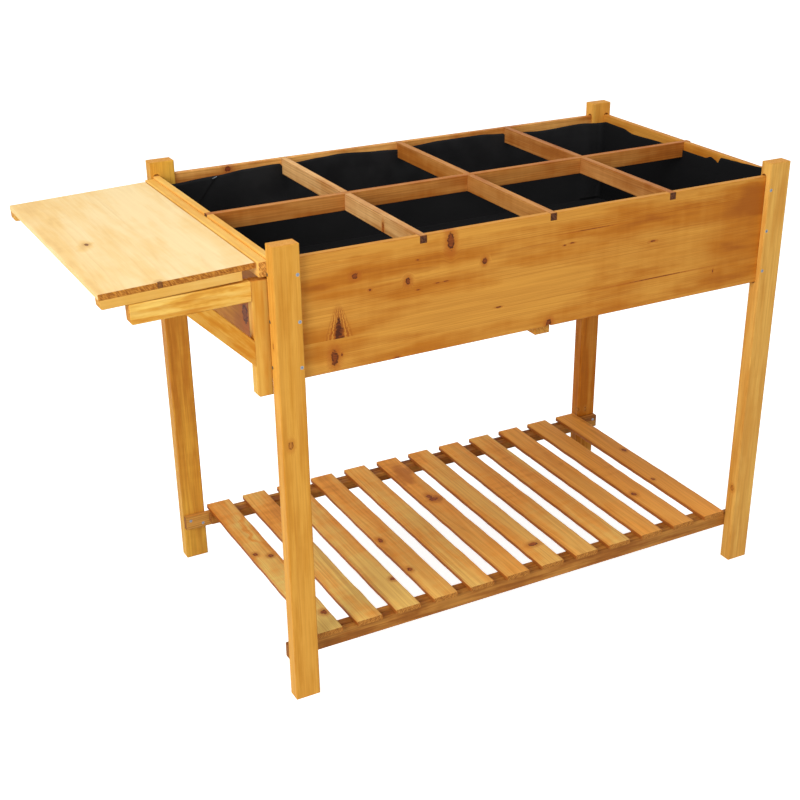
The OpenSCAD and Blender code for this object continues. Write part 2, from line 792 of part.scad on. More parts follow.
if (wanted("table_hinge_screws"))
    color(zinc_color) place() table_sloped() table_leaf_sites() leaf_screws(leaf_w);
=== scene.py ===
import math

import bmesh
import bpy
from mathutils import Euler, Matrix, Vector, noise


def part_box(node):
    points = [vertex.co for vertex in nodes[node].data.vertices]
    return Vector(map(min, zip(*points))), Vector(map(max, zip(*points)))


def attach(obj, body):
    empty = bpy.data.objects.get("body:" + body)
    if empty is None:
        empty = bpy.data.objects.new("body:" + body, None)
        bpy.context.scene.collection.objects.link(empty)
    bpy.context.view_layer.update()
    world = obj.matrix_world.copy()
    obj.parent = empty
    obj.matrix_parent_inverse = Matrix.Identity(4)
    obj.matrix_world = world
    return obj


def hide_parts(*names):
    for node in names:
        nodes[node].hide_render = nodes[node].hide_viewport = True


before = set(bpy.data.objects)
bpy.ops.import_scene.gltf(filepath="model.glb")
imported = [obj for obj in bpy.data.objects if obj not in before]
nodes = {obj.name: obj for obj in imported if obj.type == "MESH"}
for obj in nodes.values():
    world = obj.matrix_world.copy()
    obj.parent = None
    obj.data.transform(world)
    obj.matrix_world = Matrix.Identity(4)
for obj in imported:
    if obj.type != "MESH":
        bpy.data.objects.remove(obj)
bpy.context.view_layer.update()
scene = bpy.context.scene
print("frame loaded:", len(nodes), "nodes")

# Sizes of the stand that several pieces use, in metres
stand = {
    "left": -0.357,  # outer faces of the legs
    "right": 0.600,
    "front": -0.2735,
    "rear": 0.2735,
    "endWall": 0.0155,  # from a leg's outer face to the inner face of an end panel
    "longWall": 0.0213,  # the same for a long panel
    "legWidth": 0.043,
    "legThickness": 0.0245,
}
middleX = (stand["left"] + stand["right"]) / 2


def paint(red, green, blue):  # a colour as it shows on screen, made linear
    def linear(v):
        v /= 255
        return v / 12.92 if v <= 0.04045 else ((v + 0.055) / 1.055) ** 2.4
    return (linear(red), linear(green), linear(blue), 1.0)


def clamp(share):
    return min(1.0, max(0.0, share))


def ease(share):  # from 0 to 1 with a soft start and end
    share = clamp(share)
    return share * share * (3 - 2 * share)


def ripple(*place):
    return noise.noise(Vector(place))


def addPiece(name, data):
    piece = bpy.data.objects.new(name, data)
    scene.collection.objects.link(piece)
    return piece


def settle(name, mesh, material):  # a finished mesh becomes a piece
    data = bpy.data.meshes.new(name)
    mesh.to_mesh(data)
    mesh.free()
    data.shade_smooth()
    data.materials.append(material)
    return addPiece(name, data)


def aim(piece, place, target, roll=0.0):
    turn = (Vector(target) - Vector(place)).to_track_quat("-Z", "Y").to_matrix()
    turn = turn @ Matrix.Rotation(roll, 3, "Z")
    piece.matrix_world = Matrix.Translation(place) @ turn.to_4x4()


# Camera

photoView = {
    "place": (-1.0570, -1.9986, 1.3850),
    "target": (0.07049, 0.0265, 0.21519),
    "roll": -0.001568,
    "lens": 61.808,
    "sensor": 36.0,
    "shift": (-0.0427, 0.0703),
    "near": 0.05,
}


def placeCamera():
    data = bpy.data.cameras.new("photoView")
    data.sensor_width = photoView["sensor"]
    data.lens = photoView["lens"]
    data.shift_x, data.shift_y = photoView["shift"]
    data.clip_start = photoView["near"]
    scene.camera = addPiece("photoView", data)
    aim(scene.camera, photoView["place"], photoView["target"], photoView["roll"])


placeCamera()
print("camera placed")

# Nodes: a socket knows its tree, and a sign between two values adds a math node there


def feed(socket, value):
    if isinstance(value, bpy.types.NodeSocket):
        socket.id_data.links.new(value, socket)
    else:
        socket.default_value = value


def addNode(tree, kind, feeds=None, **settings):
    made = tree.nodes.new(kind)
    for name, value in settings.items():
        setattr(made, name, value)
    for name, value in (feeds or {}).items():
        feed(made.inputs[name], value)
    return made


def treeOf(values):
    return next(value.id_data for value in values if isinstance(value, bpy.types.NodeSocket))


def calc(operation, *values):  # works on vectors where one of the values is a vector
    isVector = any(isinstance(value, tuple) or getattr(value, "type", "") == "VECTOR" for value in values)
    kind = "ShaderNodeVectorMath" if isVector else "ShaderNodeMath"
    made = addNode(treeOf(values), kind, dict(enumerate(values)), operation=operation)
    return made.outputs[1 if isVector and operation == "LENGTH" else 0]


def signFor(operation, turned):
    def reckon(socket, other):
        return calc(operation, other, socket) if turned else calc(operation, socket, other)
    return reckon


for sign, operation in (("add", "ADD"), ("sub", "SUBTRACT"), ("mul", "MULTIPLY"), ("truediv", "DIVIDE")):
    setattr(bpy.types.NodeSocket, "__%s__" % sign, signFor(operation, False))
    setattr(bpy.types.NodeSocket, "__r%s__" % sign, signFor(operation, True))


def mixColour(share, first, second):
    tree = treeOf((share, first, second))
    return addNode(tree, "ShaderNodeMix", {0: share, 6: first, 7: second}, data_type="RGBA").outputs[2]


def spread(value, low, high, toLow=0.0, toHigh=1.0, shape="SMOOTHSTEP"):
    feeds = {"Value": value, "From Min": low, "From Max": high, "To Min": toLow, "To Max": toHigh}
    return addNode(value.id_data, "ShaderNodeMapRange", feeds, interpolation_type=shape).outputs["Result"]


def speckle(coords, stretch, detail=2.0, roughness=0.5, output="Fac"):
    feeds = {"Vector": coords * stretch, "Scale": 1.0, "Detail": detail, "Roughness": roughness}
    return addNode(coords.id_data, "ShaderNodeTexNoise", feeds).outputs[output]


def chanceOf(number, output):
    return addNode(number.id_data, "ShaderNodeTexWhiteNoise", {"W": number}, noise_dimensions="1D").outputs[output]


def ramp(value, stops, interpolation="LINEAR"):
    made = addNode(value.id_data, "ShaderNodeValToRGB", {"Fac": value})
    made.color_ramp.interpolation = interpolation
    stopList = made.color_ramp.elements
    while len(stopList) < len(stops):
        stopList.new(0.5)
    for stop, (place, grey) in zip(stopList, stops):
        stop.position = place
        stop.color = (grey, grey, grey, 1)
    return made.outputs["Color"]


def split(vector):
    return addNode(vector.id_data, "ShaderNodeSeparateXYZ", {"Vector": vector}).outputs


def join(**parts):
    return addNode(treeOf(parts.values()), "ShaderNodeCombineXYZ", parts).outputs[0]


def socketKind(value):
    if value is None:
        return "Material"
    if isinstance(value, tuple):
        return "Vector" if len(value) == 3 else "Color"
    return "Int" if isinstance(value, int) else "Float"


def startGroup(name, treeKind, inputs, outputs):
    # Inputs are names with their values; an output is a number unless its name is a kind of socket
    tree = bpy.data.node_groups.new(name, treeKind)
    for label, value in inputs.items():
        socket = tree.interface.new_socket(label, in_out="INPUT", socket_type="NodeSocket" + socketKind(value))
        if value is not None:
            socket.default_value = value
    for label in outputs:
        kind = label if label in ("Color", "Geometry") else "Float"
        tree.interface.new_socket(label, in_out="OUTPUT", socket_type="NodeSocket" + kind)
    given = tree.nodes.new("NodeGroupInput").outputs
    return tree, given, tree.nodes.new("NodeGroupOutput").inputs


def useGroup(group, feeds):
    return addNode(treeOf(feeds.values()), "ShaderNodeGroup", feeds, node_tree=group).outputs


def newMaterial(name):
    made = bpy.data.materials.new(name)
    made.use_nodes = True
    made.node_tree.nodes.clear()
    return made, made.node_tree


def ownCoords(tree):
    return addNode(tree, "ShaderNodeTexCoord").outputs["Object"]


def finishMaterial(tree, looks, height, strength, depth):
    bump = addNode(tree, "ShaderNodeBump", {"Height": height, "Strength": strength, "Distance": depth})
    shader = addNode(tree, "ShaderNodeBsdfPrincipled", {"Normal": bump.outputs[0], **looks})
    addNode(tree, "ShaderNodeOutputMaterial", {"Surface": shader.outputs[0]})


# Wood

origin = (0, 0, 0)
shadeNames = ("Light", "Warm", "Dark", "Knot", "Rim Shade", "Halo Shade", "End Light", "End Dark")
growthNames = ("Ring Gap", "Wobble", "Contrast", "Streak", "Blotch", "Curl")


def buildKnotGroup():
    # A knot's dark middle, its rim, the stained wood round it, and the lift that makes the rings go round it
    inputs = {"Vector": origin, "Place": origin, "Stretch": (1, 1, 1), "Rough": 0.5}
    tree, given, out = startGroup("knotMark", "ShaderNodeTree", inputs, ["Core", "Rim", "Halo", "Lift"])
    offset = given["Vector"] - given["Place"]
    far = calc("LENGTH", offset * given["Stretch"])
    ragged = far + (given["Rough"] - 0.5) * 1.3
    feed(out["Core"], spread(ragged, 1.1, 0.75))
    rimFar = calc("ABSOLUTE", ragged - 0.85)
    feed(out["Rim"], spread(rimFar, 0.34, 0.05))
    feed(out["Halo"], spread(ragged, 3.0, 0.9))
    feed(out["Lift"], spread(far, 3.6, 0.5, shape="SMOOTHERSTEP"))
    return tree


def buildFlameGroup():
    # A branch cut lengthwise: a dark tongue, and feathered lines that close over it
    inputs = {"Vector": origin, "Place": origin, "Width": 0.007, "Height": 0.04, "Rough": 0.5}
    tree, given, out = startGroup("flameMark", "ShaderNodeTree", inputs, ["Core", "Halo", "Feather"])
    parts = split(given["Vector"] - given["Place"])
    up = parts["Z"] / given["Height"]
    above = calc("GREATER_THAN", up, 0.0)
    uneven = given["Rough"] - 0.5

    def closing(wide, tall):  # how far out a point lies in a tongue that narrows to its tip
        left = calc("MAXIMUM", 1.0 - up / tall, 0.02)
        edge = given["Width"] * wide * calc("POWER", left, 0.75)
        return calc("ABSOLUTE", parts["X"]) / edge

    side = closing(1.0, 1.0) + uneven * 1.4
    short = spread(up, 1.0, 0.8) * above
    feed(out["Core"], spread(side, 1.15, 0.7) * short)
    outer = closing(3.4, 1.6)
    area = spread(outer, 1.0, 0.35) * spread(up, 1.6, 1.0) * above
    feed(out["Halo"], area * 0.75)
    waves = outer * 27.0 + uneven * 9.0
    feed(out["Feather"], calc("SINE", waves) * area)
    return tree


def buildArrisGroup():
    # 1 along the edges where two faces of a sawn board meet
    inputs = {"Vector": origin, "Centre": origin, "Half": (1, 1, 1), "Width": 0.0024}
    tree, given, out = startGroup("arrisWear", "ShaderNodeTree", inputs, ["Mask"])
    offset = calc("ABSOLUTE", given["Vector"] - given["Centre"])
    x, y, z = split(given["Half"] - offset)
    nearer = calc("MINIMUM", x, y)
    second = calc("MAXIMUM", nearer, calc("MINIMUM", calc("MAXIMUM", x, y), z))
    rough = speckle(given["Vector"], (26, 26, 26), detail=3, roughness=0.65)
    reach = spread(rough, 0.35, 0.65, 0.4, 1.4) * given["Width"]
    feed(out["Mask"], spread(second, reach, 0.0003))
    return tree


def buildWoodGroup():
    # Softwood as it grows: rings round a pith line that runs along X, cut by whatever surface asks
    marks = ("Core", "Rim", "Halo", "Lift", "Feather", "End", "Wear", "Tint")
    inputs = {"Vector": origin, "Sway": (1.6, 7, 7), "Patch": (4.5, 24, 24), **dict.fromkeys(marks, 0.0),
              **dict.fromkeys(growthNames, 0.5), **dict.fromkeys(shadeNames, (1, 1, 1, 1))}
    tree, given, out = startGroup("grownWood", "ShaderNodeTree", inputs, ["Color", "Roughness", "Height"])
    coords, ringGap, dark = given["Vector"], given["Ring Gap"], given["Dark"]
    slow = speckle(coords, given["Sway"], detail=1.5)
    middle = speckle(coords, (7.0, 60.0, 60.0))
    radius = calc("LENGTH", coords * (0, 1, 1))
    warp = (slow - 0.5) * given["Wobble"]
    finer = (middle - 0.5) * ringGap
    push = given["Lift"] * (ringGap * 3.0)
    phase = (radius + warp + (finer + push)) / ringGap
    shape = ramp(calc("FRACT", phase), [(0.0, 0.05), (0.45, 0.14), (0.8, 0.8), (0.93, 1.0), (1.0, 0.1)])
    year = chanceOf(calc("FLOOR", phase), "Value")
    patchy = spread(speckle(coords, (5.0, 34.0, 34.0)), 0.36, 0.62, 0.25, 1.0)
    grain = shape * spread(year, 0, 1, 0.15, 1.0, shape="LINEAR") * patchy
    fibre = speckle(coords, (9.0, 620.0, 620.0), roughness=0.6)
    streak = speckle(coords, (3.0, 170.0, 170.0), roughness=0.55)
    # Stain taken up unevenly: long patches and faint ripples across the grain, plus the given tint, which on some
    # boards is painted light and shade
    blotchAndShade = spread(speckle(coords, given["Patch"], detail=3, roughness=0.6), 0.36, 0.66)
    across = speckle(coords, (70.0, 9.0, 9.0))
    blotchAndShade = blotchAndShade * given["Blotch"] + given["Tint"] + (across - 0.5) * given["Curl"]
    blotchAndShade = calc("MINIMUM", calc("MAXIMUM", blotchAndShade, 0.0), 1.6)
    colour = mixColour(calc("MINIMUM", blotchAndShade, 1.0), given["Light"], given["Warm"])
    colour = mixColour(calc("MAXIMUM", blotchAndShade - 1.0, 0.0), colour, dark)
    colour = mixColour(grain * given["Contrast"], colour, dark)
    dull = spread(fibre * 0.5 + streak * 0.5, 0.38, 0.64)
    colour = mixColour(dull * given["Streak"], colour, dark)
    # Sawn ends show the rings and the saw's leaning marks
    leaning = addNode(tree, "ShaderNodeMapping", {"Vector": coords, "Rotation": (0.75, 0, 0)}).outputs[0]
    leaning = spread(speckle(leaning, (20.0, 760.0, 150.0)), 0.40, 0.60)
    endGrain = mixColour(shape * 0.22 + leaning * 0.75, given["End Light"], given["End Dark"])
    colour = mixColour(given["End"], colour, endGrain)
    colour = mixColour(given["Wear"] * 0.35, colour, dark)
    # Knots and flames
    colour = mixColour(given["Halo"] * (0.7 - given["End"] * 0.7), colour, given["Halo Shade"])
    colour = mixColour(calc("MAXIMUM", given["Feather"], 0.0) * 0.6, colour, given["Knot"])
    colour = mixColour(calc("MAXIMUM", given["Feather"] * -1.0, 0.0) * 0.6, colour, given["Light"])
    heart = mixColour(spread(fibre, 0.42, 0.62, 0.0, 0.4), given["Knot"], given["Rim Shade"])
    colour = mixColour(given["Core"] * 0.94, colour, heart)
    broken = spread(speckle(coords, (150, 260, 260), detail=1), 0.40, 0.56, 0.15, 0.9)
    feed(out["Color"], mixColour(given["Rim"] * broken, colour, given["Rim Shade"]))
    feed(out["Roughness"], 0.48 + fibre * 0.16 + given["End"] * 0.15)
    feed(out["Height"], grain * 0.35 + fibre * 0.65 - given["Rim"] * 0.4)
    return tree


knotGroup = buildKnotGroup()
flameGroup = buildFlameGroup()
arrisGroup = buildArrisGroup()
woodGroup = buildWoodGroup()
print("wood shaders built")

# Kinds of wood: shades in the order of shadeNames, growth in the order of growthNames, and what differs besides
stains = {
    "leg": (((228, 166, 68), (212, 146, 50), (176, 106, 26), (200, 128, 48), (122, 64, 20), (196, 122, 40),
             (228, 166, 82), (206, 138, 56)), (0.0040, 0.014, 0.24, 0.28, 1.0, 0.3), {"Patch": (6, 50, 50)}),
    "panel": (((219, 154, 62), (192, 117, 30), (150, 74, 12), (132, 62, 22), (62, 26, 10), (174, 90, 24),
               (196, 136, 60), (112, 64, 26)), (0.0023, 0.016, 0.5, 0.24, 1.0, 0.5), {}),
    "rearPanel": (((240, 176, 92), (186, 112, 42), (138, 70, 22), (132, 56, 28), (72, 28, 16), (164, 86, 34),
                   (196, 136, 60), (112, 64, 26)), (0.0036, 0.022, 0.5, 0.25, 1.1, 0.6), {}),
    "divider": (((224, 164, 92), (188, 114, 42), (134, 68, 20), (176, 88, 22), (112, 50, 14), (196, 112, 40),
                 (104, 62, 38), (46, 25, 16)), (0.0036, 0.024, 0.5, 0.34, 1.1, 0.8), {}),
    "rail": (((242, 192, 98), (230, 168, 70), (194, 118, 34), (150, 84, 30), (80, 40, 16), (200, 124, 44),
              (242, 184, 92), (150, 76, 10)), (0.0044, 0.010, 0.22, 0.18, 0.9, 0.6), {}),
    "bracket": (((226, 172, 76), (212, 144, 44), (190, 106, 18), (150, 84, 30), (80, 40, 16), (200, 118, 34),
                 (214, 152, 66), (178, 112, 40)), (0.0110, 0.075, 0.6, 0.2, 1.35, 0.3), {"Patch": (16, 95, 95)}),
    "cleat": (((238, 192, 108), (228, 172, 80), (200, 138, 50), (150, 84, 30), (80, 40, 16), (200, 124, 44),
               (222, 168, 86), (184, 120, 46)), (0.0060, 0.018, 0.18, 0.16, 0.9, 0.5), {}),
    "table": (((251, 224, 168), (245, 206, 136), (212, 162, 98), (132, 84, 44), (92, 52, 28), (214, 164, 98),
               (206, 138, 56), (142, 78, 22)), (0.0100, 0.060, 0.17, 0.09, 0.9, 0.3), {"Sway": (2.6, 5.0, 5.0)}),
    "slat": (((255, 222, 126), (250, 172, 74), (168, 86, 20), (166, 82, 32), (86, 36, 14), (196, 112, 38),
              (206, 140, 62), (138, 80, 32)), (0.0040, 0.026, 0.36, 0.26, 0.95, 0.9), {}),
    "batten": (((204, 140, 62), (170, 104, 38), (104, 54, 14), (110, 50, 22), (66, 28, 14), (140, 74, 26),
                (172, 110, 48), (110, 62, 24)), (0.0036, 0.020, 0.5, 0.34, 1.25, 0.5), {"Patch": (9, 60, 60)}),
}
crownBand = (0.0050, 0.0042)  # how far below a board's top edge another stain begins and is full; on the left panel this also paints light over the shaded step above the rail
slopeSlack = 0.0007  # how much a sloping board's ends lie inside its box
grainTurns = {  # how a board is turned to lay its grain along X
    "x": Euler((0, 0, 0)),
    "y": Euler((0, 0, -math.pi / 2)),
    "z": Euler((0, math.pi / 2, 0)),
    "brace": Euler((0, -math.pi / 4, 0)),
}


def mixStain(kind, **changes):
    shades, growth, more = stains[kind]
    values = {**dict(zip(shadeNames, shades)), **dict(zip(growthNames, growth)), **more, **changes}
    return {name: paint(*value) if name in shadeNames else value for name, value in values.items()}


def inverse(halves):
    return tuple(1 / half for half in halves)


def markKnots(coords, knots, flames=()):
    # Each knot is a place and its half sizes; each flame is a place, a half width and a height
    marks = dict.fromkeys(("Core", "Rim", "Halo", "Lift"), 0.0)
    rough = speckle(coords, (230, 230, 230), roughness=0.6) if knots else 0.5
    for place, halves in knots:
        out = useGroup(knotGroup, {"Vector": coords, "Place": place, "Rough": rough, "Stretch": inverse(halves)})
        marks = {name: calc("MAXIMUM", out[name], old) for name, old in marks.items()}
    for place, width, height in flames:
        out = useGroup(flameGroup, {"Vector": coords, "Place": place, "Width": width, "Height": height,
                                    "Rough": rough})
        for name, source, share in (("Core", "Core", 1.0), ("Rim", "Core", 0.9), ("Halo", "Halo", 1.0)):
            marks[name] = calc("MAXIMUM", out[source] * share, marks[name])
        marks["Feather"] = out["Feather"]
    return marks


def stainAndShadePatches(coords, patches):
    # Patches of darker or lighter stain, some of them painted light and shade: place, half sizes (9 m where there is
    # no end) and strength
    drift = speckle(coords, (5.0, 9.0, 14.0), 4.0, 0.6, "Color")
    moved = coords + (drift - (0.5, 0.5, 0.5)) * (0.10, 0.06, 0.045)
    tint = 0.0
    for place, halves, strength in patches:
        far = calc("LENGTH", (moved - place) * inverse(halves))
        tint = spread(far, 1.1, 0.3) * strength + tint
    return tint


def endMask(coords, axis, low, high, slack=0.0):
    # 1 on the sawn ends of a board, 0 along its length
    low, high = low["xyz".index(axis)], high["xyz".index(axis)]
    far = calc("ABSOLUTE", split(coords)["xyz".index(axis)] - (low + high) / 2)
    half = (high - low) / 2
    return spread(far, half - 0.0005 - slack, half - 0.0002 - slack)


def finishWood(tree, values):
    out = useGroup(woodGroup, values)
    looks = {"Base Color": out["Color"], "Roughness": out["Roughness"], "Specular IOR Level": 0.14}
    finishMaterial(tree, looks, out["Height"], strength=0.35, depth=0.0006)


def dress(node, material):
    mesh = nodes[node].data
    mesh.materials.clear()
    mesh.materials.append(material)


def stainBoard(node, kind, grain, pith, seed, knots=(), flames=(), seam=None, patches=(), crown=None,
               sloped=False, **changes):
    # pith is how far the pith line lies from the board's centre, across the grain
    values = mixStain(kind, **changes)
    made, tree = newMaterial("wood" + node.title().replace("_", ""))
    coords = ownCoords(tree)
    low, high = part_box(node)
    centre = Vector([(a + b) / 2 for a, b in zip(low, high)])
    turn = grainTurns[grain]
    shift = -(turn.to_matrix() @ centre) + Vector((0.37 + 1.93 * seed, *pith))
    laid = addNode(tree, "ShaderNodeMapping", {"Vector": coords, "Location": shift, "Rotation": turn}).outputs[0]
    if seam:  # the board is glued up from two, so its rings jump at the joint
        lower = calc("LESS_THAN", split(coords)["Z"], seam["height"])
        laid = laid + addNode(tree, "ShaderNodeVectorMath", {0: seam["jump"], "Scale": lower},
                              operation="SCALE").outputs[0]
    if crown:  # the top edge takes the stain of the board beside it: partly the wood's own colour, partly painted light over the shaded step between them
        top = spread(split(coords)["Z"], high[2] - crownBand[0], high[2] - crownBand[1])
        beside = mixStain(crown)
        for name in ("Light", "Warm", "Dark"):
            values[name] = mixColour(top, values[name], beside[name])
    values.update(markKnots(coords, knots, flames), Vector=laid)
    if patches:
        values["Tint"] = stainAndShadePatches(coords, patches)
    if grain in "xyz":
        values["End"] = endMask(coords, grain, low, high, slopeSlack if sloped else 0.0)
        if not sloped and not crown and kind != "rail":
            half = [(b - a) / 2 for a, b in zip(low, high)]
            values["Wear"] = useGroup(arrisGroup, {"Vector": coords, "Centre": centre, "Half": half})["Mask"]
    finishWood(tree, values)
    dress(node, made)


# Boards

deep = 0.03  # half depth of a knot that goes through its board
panelJoint = {"height": 0.6194, "jump": (0.7, 0.013, 0.062)}
frontFace = stand["front"] + 0.0098  # the front panel's outer face lies this far behind the legs'
frontMarks = [  # its knots and cracks: place along the stand, height, half width, half height
    (-0.2238, 0.7123, 0.0046, 0.0042), (-0.1357, 0.6892, 0.0042, 0.0050), (-0.0007, 0.6983, 0.0040, 0.0044),
    (-0.0614, 0.7400, 0.0058, 0.0125), (-0.2608, 0.5900, 0.0058, 0.0110), (0.1223, 0.5720, 0.0052, 0.0060),
    (-0.1997, 0.6863, 0.0022, 0.0014), (0.3237, 0.6790, 0.0050, 0.0013), (-0.1190, 0.7195, 0.0022, 0.0008),
    (-0.0694, 0.6777, 0.0040, 0.0007), (-0.0852, 0.6774, 0.0034, 0.0007), (-0.1183, 0.6723, 0.0026, 0.0008),
    (0.0258, 0.6178, 0.0042, 0.0010), (-0.1563, 0.5685, 0.0040, 0.0022), (-0.2491, 0.5927, 0.0014, 0.0026),
    (0.1617, 0.7015, 0.0040, 0.0010), (0.1470, 0.6997, 0.0022, 0.0009), (0.4577, 0.6044, 0.0010, 0.0022),
    (0.3400, 0.6137, 0.0560, 0.0006), (0.2030, 0.7190, 0.0300, 0.0005)]
armLook = {"sloped": True, "Light": (248, 206, 108), "Warm": (234, 176, 72)}
postLook = {"Contrast": 0.3, "Blotch": 1.0, "Patch": (6, 60, 60), "Light": (228, 180, 84), "Warm": (214, 152, 54)}
boards = {  # kind of wood, way of the grain, place of the pith line, seed, and what only this board has
    "leg_front_left": ("leg", "z", (0.030, 0.052), 1, {
        "knots": [((-0.3434, -0.2735, 0.4668), (0.0040, 0.012, 0.0060)),
                  ((-0.3570, -0.2600, 0.6260), (0.010, 0.0016, 0.0040))]}),
    "leg_front_right": ("leg", "z", (0.041, 0.033), 2, {
        "knots": [((0.5570, -0.2626, 0.1547), (0.012, 0.0040, 0.0050))],
        "Light": (234, 180, 88), "Warm": (216, 154, 66), "Dark": (174, 106, 32)}),
    "leg_rear_left": ("leg", "z", (0.052, 0.014), 3, {
        "knots": [((-0.3140, 0.2600, 0.3300), (0.010, 0.0030, 0.0050))],
        # Painted shade: the patch darkens the leg below the bed's top, where the bed shades it
        "patches": [((-0.335, 0.261, 0.45), (9, 9, 0.30), 0.55)],
        "Light": (240, 182, 70), "Warm": (198, 128, 42), "Dark": (150, 86, 20), "Blotch": 0.6}),
    "leg_rear_right": ("leg", "z", (0.063, -0.005), 4, {
        "knots": [((0.5763, 0.2490, 0.1093), (0.0034, 0.012, 0.0050)),
                  ((0.5572, 0.2510, 0.1120), (0.0040, 0.006, 0.0044))],
        # Painted shade: the patch darkens the leg below the bed's top, where the bed shades it
        "patches": [((0.578, 0.261, 0.30), (9, 9, 0.44), 0.75)],
        "Light": (248, 186, 82), "Warm": (202, 118, 20), "Dark": (150, 80, 10), "Blotch": 0.6}),
    "panel_front": ("panel", "x", (0.030, -0.040), 5, {
        "knots": [((x, frontFace, z), (width, deep, height)) for x, z, width, height in frontMarks],
        "flames": [((-0.2525, frontFace, panelJoint["height"]), 0.0084, 0.038)],  # cut off by the glued joint
        "seam": panelJoint,
        "patches": [((-0.15, -0.264, 0.716), (0.30, 9, 0.017), 0.95), ((0.12, -0.264, 0.752), (9, 9, 0.011), -0.8),
                    ((-0.26, -0.264, 0.600), (0.075, 9, 0.024), 0.75), ((-0.335, -0.264, 0.66), (0.035, 9, 0.15), 0.5),
                    ((0.54, -0.264, 0.665), (0.14, 9, 0.12), 0.9), ((0.45, -0.264, 0.708), (0.20, 9, 0.030), 0.7),
                    ((0.01, -0.264, 0.628), (0.24, 9, 0.050), -1.2),
                    ((0.28, -0.264, 0.722), (0.16, 9, 0.020), 0.45)]}),
    "panel_rear": ("rearPanel", "x", (-0.03, 0.03), 6, {
        "knots": [((-0.2164, 0.2522, 0.7505), (0.0056, deep, 0.0042)),
                  ((0.0800, 0.2522, 0.6600), (0.0060, deep, 0.0090)),
                  ((0.3500, 0.2522, 0.6100), (0.0050, deep, 0.0060))],
        "seam": {"height": 0.652, "jump": (0.4, 0.02, -0.05)}}),
    "panel_left": ("panel", "y", (0.03, 0.05), 7, {
        "knots": [((-0.3530, -0.1433, 0.6370), (deep, 0.0110, 0.0150))],
        # Painted shade: the patch darkens the panel where the table and the front bracket shade it
        "patches": [((-0.353, -0.17, 0.65), (9, 0.15, 0.09), 0.8)],
        # Painted shade in part: these shades are deeper and more orange than the plain panel's, to offset the cool
        # light of the shade the panel lies in
        "crown": "rail", "Light": (206, 140, 14), "Warm": (168, 98, 5), "Dark": (126, 61, 2)}),
    "panel_right": ("panel", "y", (0.04, -0.03), 8, {}),
    "floor_board_1": ("panel", "x", (0.02, 0.035), 10, {}),
    "floor_board_2": ("panel", "x", (0.04, 0.035), 11, {}),
    "floor_board_3": ("panel", "x", (0.06, 0.035), 12, {}),
    "floor_cleat_left": ("batten", "y", (0.02, 0.03), 13, {}),
    "floor_cleat_right": ("batten", "y", (0.02, 0.03), 14, {}),
    "floor_beam": ("bracket", "y", (0.03, 0.02), 15, {}),
    "hinge_rail": ("rail", "y", (0.06, 0.055), 16, {}),
    "table_top": ("table", "y", (0.070, -0.045), 17, {
        "sloped": True,
        "knots": [((-0.5512, -0.0254, 0.7445), (0.0032, 0.0046, deep)),
                  ((-0.5119, -0.2425, 0.7418), (0.0036, 0.006, 0.0085))],
        "patches": [((-0.575, 0, 0.745), (0.040, 9, 9), 0.35), ((-0.420, 0, 0.745), (0.050, 9, 9), -0.4),
                    ((-0.5512, -0.0254, 0.745), (0.016, 0.030, 9), 0.9)]}),
    "table_cleat_front": ("cleat", "x", (0.03, 0.04), 18, {"sloped": True}),
    "table_cleat_rear": ("cleat", "x", (0.03, 0.04), 19, {"sloped": True}),
    "front_bracket_arm": ("bracket", "x", (0.022, 0.035), 21.2, armLook),
    "front_bracket_post": ("bracket", "z", (0.022, 0.035), 21.6, postLook),
    "front_bracket_brace": ("bracket", "brace", (0.022, 0.035), 22, {}),
    "rear_bracket_arm": ("bracket", "x", (0.030, 0.035), 24.2, armLook),
    "rear_bracket_post": ("bracket", "z", (0.030, 0.035), 24.6, postLook),
    "rear_bracket_brace": ("bracket", "brace", (0.030, 0.035), 25, {}),
    "divider_cross_1": ("divider", "y", (0.012, 0.028), 28, {
        "knots": [((-0.1145, -0.1422, 0.7354), (0.02, 0.0030, 0.0085))],
        "Light": (240, 188, 120), "Warm": (212, 150, 82)}),
    "divider_cross_2": ("divider", "y", (0.012, 0.038), 29, {"Light": (210, 146, 74), "Warm": (178, 106, 36)}),
    "divider_cross_3": ("divider", "y", (0.012, 0.048), 30, {"Light": (212, 148, 80), "Warm": (178, 108, 44)}),
    "divider_long": ("divider", "x", (0.02, 0.03), 31, {"Light": (214, 146, 70), "Warm": (184, 108, 38)}),
    "shelf_rail_front": ("batten", "x", (0.02, 0.02), 33.2, {}),
    "shelf_batten_front": ("batten", "x", (0.02, 0.02), 33.8, {}),
    "shelf_rail_rear": ("batten", "x", (0.02, 0.03), 34.2, {
        "Light": (232, 168, 80),
        # Painted light and shade: lighter at the left end, where light reaches under the bed, darker towards the
        # middle
        "patches": [((-0.335, 0.26, 0.081), (0.09, 9, 9), -1.2), ((0.2, 0.26, 0.081), (0.46, 9, 9), 0.7)]}),
    "shelf_batten_rear": ("batten", "x", (0.02, 0.03), 34.8, {}),
}
for node, (kind, grain, pith, seed, special) in boards.items():
    stainBoard(node, kind, grain, pith, seed, **special)
print("boards stained")

# Shelf slats

